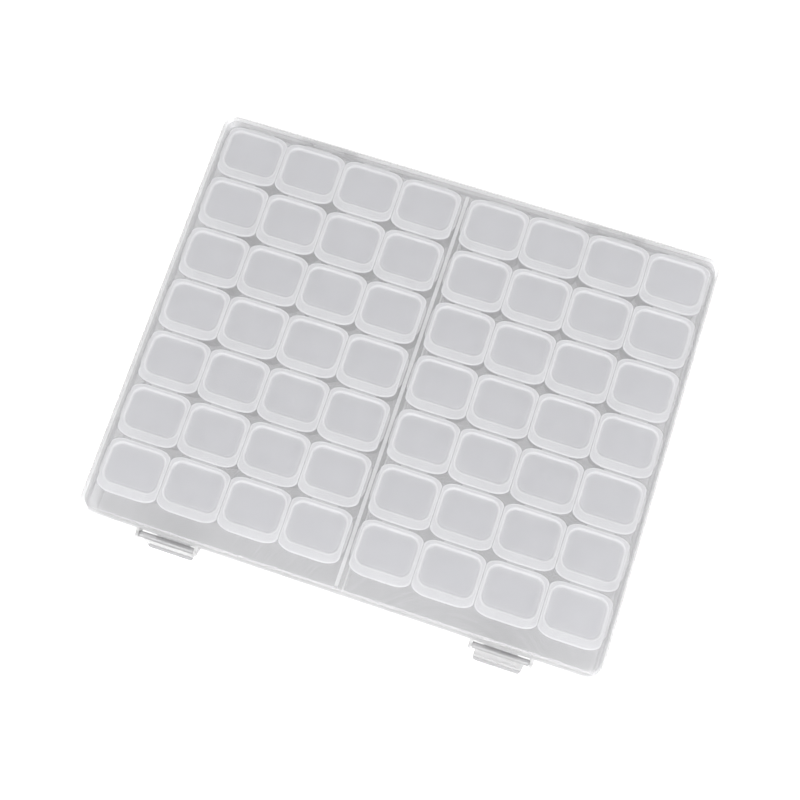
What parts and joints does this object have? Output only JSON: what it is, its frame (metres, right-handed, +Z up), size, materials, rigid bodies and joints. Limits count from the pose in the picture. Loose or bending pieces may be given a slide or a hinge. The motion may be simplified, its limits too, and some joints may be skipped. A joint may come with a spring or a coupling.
{
  "type": "compartment jewelry box",
  "caption": "Flat hinged clear plastic case with front latches, filled with lift-out strips of small cups, each under its own flip lid, for sorting beads and jewelry.",
  "frame": {"origin": "middle of the case's flat underside", "axes": "+X along the long side, +Y to the case hinge at the back, +Z up"},
  "size_m": [0.212, 0.1833, 0.027],
  "materials": {
    "case_plastic": "glossy",
    "cup_plastic": "satin",
    "flip_plastic": "satin"
  },
  "bodies": {
    "case": {"case_base": "case_plastic", "cup_strip_left_1": "cup_plastic", "cup_strip_left_2": "cup_plastic", "cup_strip_left_3": "cup_plastic", "cup_strip_left_4": "cup_plastic", "cup_strip_left_5": "cup_plastic", "cup_strip_left_6": "cup_plastic", "cup_strip_left_7": "cup_plastic", "cup_strip_right_1": "cup_plastic", "cup_strip_right_2": "cup_plastic", "cup_strip_right_3": "cup_plastic", "cup_strip_right_4": "cup_plastic", "cup_strip_right_5": "cup_plastic", "cup_strip_right_6": "cup_plastic", "cup_strip_right_7": "cup_plastic"},
    "lid": {"case_lid": "case_plastic"},
    "latch_left": {"latch_left": "case_plastic"},
    "latch_right": {"latch_right": "case_plastic"},
    "flip_lids_left_1": {"flip_lids_left_1": "flip_plastic"},
    "flip_lids_left_2": {"flip_lids_left_2": "flip_plastic"},
    "flip_lids_left_3": {"flip_lids_left_3": "flip_plastic"},
    "flip_lids_left_4": {"flip_lids_left_4": "flip_plastic"},
    "flip_lids_left_5": {"flip_lids_left_5": "flip_plastic"},
    "flip_lids_left_6": {"flip_lids_left_6": "flip_plastic"},
    "flip_lids_left_7": {"flip_lids_left_7": "flip_plastic"},
    "flip_lids_right_1": {"flip_lids_right_1": "flip_plastic"},
    "flip_lids_right_2": {"flip_lids_right_2": "flip_plastic"},
    "flip_lids_right_3": {"flip_lids_right_3": "flip_plastic"},
    "flip_lids_right_4": {"flip_lids_right_4": "flip_plastic"},
    "flip_lids_right_5": {"flip_lids_right_5": "flip_plastic"},
    "flip_lids_right_6": {"flip_lids_right_6": "flip_plastic"},
    "flip_lids_right_7": {"flip_lids_right_7": "flip_plastic"}
  },
  "joints": [
    {"name": "lid_hinge", "type": "hinge", "parent": "case", "child": "lid", "pos_m": [0, 0.08855, 0.016], "axis": [-1, 0, 0], "range_deg": [0, 180]},
    {"name": "latch_left_pivot", "type": "hinge", "parent": "lid", "child": "latch_left", "pos_m": [-0.0677, -0.0885, 0.023], "axis": [-1, 0, 0], "range_deg": [-7, 113]},
    {"name": "latch_right_pivot", "type": "hinge", "parent": "lid", "child": "latch_right", "pos_m": [0.0677, -0.0885, 0.023], "axis": [-1, 0, 0], "range_deg": [-14, 106]},
    {"name": "flip_left_1_hinge", "type": "hinge", "parent": "case", "child": "flip_lids_left_1", "pos_m": [-0.05248, -0.05525, 0.0216], "axis": [-1, 0, 0], "range_deg": [0, 110]},
    {"name": "flip_left_2_hinge", "type": "hinge", "parent": "case", "child": "flip_lids_left_2", "pos_m": [-0.05248, -0.03215, 0.0216], "axis": [-1, 0, 0], "range_deg": [0, 110]},
    {"name": "flip_left_3_hinge", "type": "hinge", "parent": "case", "child": "flip_lids_left_3", "pos_m": [-0.05248, -0.00905, 0.0216], "axis": [-1, 0, 0], "range_deg": [0, 110]},
    {"name": "flip_left_4_hinge", "type": "hinge", "parent": "case", "child": "flip_lids_left_4", "pos_m": [-0.05248, 0.01405, 0.0216], "axis": [-1, 0, 0], "range_deg": [0, 110]},
    {"name": "flip_left_5_hinge", "type": "hinge", "parent": "case", "child": "flip_lids_left_5", "pos_m": [-0.05248, 0.03715, 0.0216], "axis": [-1, 0, 0], "range_deg": [0, 110]},
    {"name": "flip_left_6_hinge", "type": "hinge", "parent": "case", "child": "flip_lids_left_6", "pos_m": [-0.05248, 0.06025, 0.0216], "axis": [-1, 0, 0], "range_deg": [0, 110]},
    {"name": "flip_left_7_hinge", "type": "hinge", "parent": "case", "child": "flip_lids_left_7", "pos_m": [-0.05248, 0.08335, 0.0216], "axis": [-1, 0, 0], "range_deg": [0, 110]},
    {"name": "flip_right_1_hinge", "type": "hinge", "parent": "case", "child": "flip_lids_right_1", "pos_m": [0.05248, -0.05525, 0.0216], "axis": [-1, 0, 0], "range_deg": [0, 110]},
    {"name": "flip_right_2_hinge", "type": "hinge", "parent": "case", "child": "flip_lids_right_2", "pos_m": [0.05248, -0.03215, 0.0216], "axis": [-1, 0, 0], "range_deg": [0, 110]},
    {"name": "flip_right_3_hinge", "type": "hinge", "parent": "case", "child": "flip_lids_right_3", "pos_m": [0.05248, -0.00905, 0.0216], "axis": [-1, 0, 0], "range_deg": [0, 110]},
    {"name": "flip_right_4_hinge", "type": "hinge", "parent": "case", "child": "flip_lids_right_4", "pos_m": [0.05248, 0.01405, 0.0216], "axis": [-1, 0, 0], "range_deg": [0, 110]},
    {"name": "flip_right_5_hinge", "type": "hinge", "parent": "case", "child": "flip_lids_right_5", "pos_m": [0.05248, 0.03715, 0.0216], "axis": [-1, 0, 0], "range_deg": [0, 110]},
    {"name": "flip_right_6_hinge", "type": "hinge", "parent": "case", "child": "flip_lids_right_6", "pos_m": [0.05248, 0.06025, 0.0216], "axis": [-1, 0, 0], "range_deg": [0, 110]},
    {"name": "flip_right_7_hinge", "type": "hinge", "parent": "case", "child": "flip_lids_right_7", "pos_m": [0.05248, 0.08335, 0.0216], "axis": [-1, 0, 0], "range_deg": [0, 110]}
  ],
  "couplings": [
    {"joint": "flip_left_1_hinge", "follows": "lid_hinge", "ratio": 0.6111},
    {"joint": "flip_left_2_hinge", "follows": "lid_hinge", "ratio": 0.6111},
    {"joint": "flip_left_3_hinge", "follows": "lid_hinge", "ratio": 0.6111},
    {"joint": "flip_left_4_hinge", "follows": "lid_hinge", "ratio": 0.6111},
    {"joint": "flip_left_5_hinge", "follows": "lid_hinge", "ratio": 0.6111},
    {"joint": "flip_left_6_hinge", "follows": "lid_hinge", "ratio": 0.6111},
    {"joint": "flip_left_7_hinge", "follows": "lid_hinge", "ratio": 0.6111},
    {"joint": "flip_right_1_hinge", "follows": "lid_hinge", "ratio": 0.6111},
    {"joint": "flip_right_2_hinge", "follows": "lid_hinge", "ratio": 0.6111},
    {"joint": "flip_right_3_hinge", "follows": "lid_hinge", "ratio": 0.6111},
    {"joint": "flip_right_4_hinge", "follows": "lid_hinge", "ratio": 0.6111},
    {"joint": "flip_right_5_hinge", "follows": "lid_hinge", "ratio": 0.6111},
    {"joint": "flip_right_6_hinge", "follows": "lid_hinge", "ratio": 0.6111},
    {"joint": "flip_right_7_hinge", "follows": "lid_hinge", "ratio": 0.6111}
  ]
}
